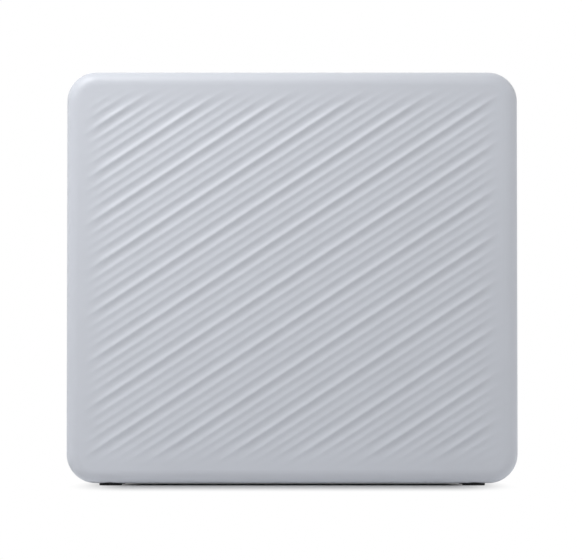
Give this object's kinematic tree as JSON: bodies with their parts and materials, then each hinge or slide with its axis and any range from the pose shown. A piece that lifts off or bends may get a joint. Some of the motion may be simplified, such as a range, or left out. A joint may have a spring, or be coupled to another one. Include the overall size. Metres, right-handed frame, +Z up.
{
  "type": "compact photo printer",
  "caption": "Upright slab-shaped instant photo printer with a fluted front, a film door on its back and an exit slot on top.",
  "frame": {"origin": "middle of the base, on the surface that the printer stands on", "axes": "X is the width, +Y points out of the back with the film door, -Y out of the fluted front, +Z is up"},
  "size_m": [0.139, 0.0338, 0.1275],
  "materials": {
    "shell_plastic": "satin, fine moulded grain",
    "trim_plastic": "satin",
    "light_guide": "milky translucent",
    "black_plastic": "matt moulded",
    "smoked_window": "clear smoked",
    "rubber": "matt",
    "foam": "black foam",
    "flap_film": "thin black sheet",
    "spring_steel": "bright spring steel",
    "ground_steel": "ground bright",
    "screw_steel": "zinc plated",
    "sheet_steel": "plated sheet",
    "gear_acetal": "natural acetal",
    "cam_acetal": "blue acetal",
    "brass": "turned",
    "circuit_board": "green solder mask",
    "board_plastic": "matt",
    "optic_glass": "clear",
    "flex_cable": "polyimide",
    "lead_insulation": "soft insulation",
    "battery_skin": "wrapped"
  },
  "bodies": {
    "case": {"front_cover": "shell_plastic", "rear_case": "shell_plastic", "feet": "rubber", "case_screws": "screw_steel", "light_seal": "foam", "button_light_ring": "light_guide", "power_switch": "board_plastic", "reset_switch": "board_plastic", "usb_port": "sheet_steel", "film_chamber": "black_plastic", "frame_screws": "screw_steel", "film_guide": "black_plastic", "slot_bezel": "black_plastic", "roller_bushes": "brass", "roller_springs": "spring_steel", "print_head_housing": "black_plastic", "lens_array": "optic_glass", "light_source_strip": "optic_glass", "head_board": "circuit_board", "head_cable": "flex_cable", "motor_can": "sheet_steel", "motor_end_cap": "gear_acetal", "motor_bracket": "sheet_steel", "encoder_sensor": "black_plastic", "motor_leads": "lead_insulation", "gear_axles": "ground_steel", "gear_plate": "sheet_steel", "slider_guide_pins": "ground_steel", "pick_return_spring": "spring_steel", "main_board": "circuit_board", "board_parts": "board_plastic", "radio_module": "sheet_steel", "board_screws": "screw_steel", "battery_pack": "battery_skin", "battery_bay": "black_plastic", "battery_contacts": "brass"},
    "film_door": {"film_door": "shell_plastic", "door_liner": "black_plastic", "door_window": "smoked_window", "pack_springs": "spring_steel", "pack_pads": "rubber", "door_hinge_pins": "ground_steel"},
    "latch": {"door_latch": "black_plastic"},
    "battery_lid": {"battery_door": "trim_plastic"},
    "button": {"power_button": "trim_plastic"},
    "plunger": {"reset_plunger": "rubber"},
    "flap": {"light_flap": "flap_film"},
    "drive_roller": {"drive_roller": "ground_steel", "roller_gear": "gear_acetal", "drive_end_gear": "gear_acetal"},
    "bearing_carrier": {"bearing_blocks": "gear_acetal"},
    "pressure_roller": {"pressure_roller": "ground_steel", "pressure_end_gear": "gear_acetal"},
    "gear_two": {"reduction_gear_two": "gear_acetal"},
    "gear_one": {"reduction_gear_one": "gear_acetal"},
    "cam": {"cam_gear": "cam_acetal"},
    "motor_rotor": {"motor_shaft": "ground_steel", "motor_pinion": "brass", "encoder_wheel": "black_plastic"},
    "pick": {"pick_slider": "gear_acetal"}
  },
  "joints": [
    {"name": "door_hinge", "type": "hinge", "parent": "case", "child": "film_door", "pos_m": [0, 0.0142, 0.0074], "axis": [-1, 0, 0], "range_deg": [0, 90]},
    {"name": "door_latch_slide", "type": "slide", "parent": "film_door", "child": "latch", "axis": [0, 0, 1], "range_m": [0, 0.0025]},
    {"name": "battery_lid_hinge", "type": "hinge", "parent": "case", "child": "battery_lid", "pos_m": [-0.049, -0.0094, 0.00175], "axis": [0, 1, 0], "range_deg": [0, 90]},
    {"name": "power_button_press", "type": "slide", "parent": "case", "child": "button", "axis": [-1, 0, 0], "range_m": [0, 0.0006], "stiffness_N_per_m": 1500, "springref_m": -0.0003},
    {"name": "reset_plunger_press", "type": "slide", "parent": "case", "child": "plunger", "axis": [-1, 0, 0], "range_m": [0, 0.0003], "stiffness_N_per_m": 1500, "springref_m": -0.0003},
    {"name": "light_flap_swing", "type": "hinge", "parent": "case", "child": "flap", "pos_m": [0, -0.0043, 0.1189], "axis": [1, 0, 0], "range_deg": [0, 60], "stiffness_Nm_per_rad": 0.0004, "springref_deg": -11.46},
    {"name": "drive_roller_spin", "type": "hinge", "parent": "case", "child": "drive_roller", "pos_m": [0, 0.0032, 0.112], "axis": [1, 0, 0], "continuous": true},
    {"name": "bearing_carrier_slide", "type": "slide", "parent": "case", "child": "bearing_carrier", "axis": [0, 1, 0], "range_m": [-0.0004, 0], "stiffness_N_per_m": 800, "springref_m": 0.003, "deforming": ["roller_springs"]},
    {"name": "pressure_roller_spin", "type": "hinge", "parent": "bearing_carrier", "child": "pressure_roller", "pos_m": [0, -0.0048, 0.112], "axis": [1, 0, 0], "continuous": true},
    {"name": "gear_two_spin", "type": "hinge", "parent": "case", "child": "gear_two", "pos_m": [-0.062, -0.001, 0.10315], "axis": [1, 0, 0], "continuous": true},
    {"name": "gear_one_spin", "type": "hinge", "parent": "case", "child": "gear_one", "pos_m": [-0.063, 0.0015, 0.09008], "axis": [1, 0, 0], "continuous": true},
    {"name": "cam_spin", "type": "hinge", "parent": "case", "child": "cam", "pos_m": [-0.062, 0.0045, 0.07785], "axis": [1, 0, 0], "continuous": true},
    {"name": "motor_spin", "type": "hinge", "parent": "case", "child": "motor_rotor", "pos_m": [-0.05, -0.0097, 0.08168], "axis": [1, 0, 0], "continuous": true},
    {"name": "pick_slide", "type": "slide", "parent": "case", "child": "pick", "axis": [0, 0, 1], "range_m": [0, 0.012], "stiffness_N_per_m": 60, "springref_m": -0.002, "deforming": ["pick_return_spring"]}
  ],
  "couplings": [
    {"joint": "pressure_roller_spin", "follows": "drive_roller_spin", "ratio": -1},
    {"joint": "gear_two_spin", "follows": "drive_roller_spin", "ratio": -1.3333},
    {"joint": "gear_one_spin", "follows": "drive_roller_spin", "ratio": 2.8889},
    {"joint": "cam_spin", "follows": "drive_roller_spin", "ratio": -1.4444},
    {"joint": "motor_spin", "follows": "drive_roller_spin", "ratio": -6.7407}
  ]
}
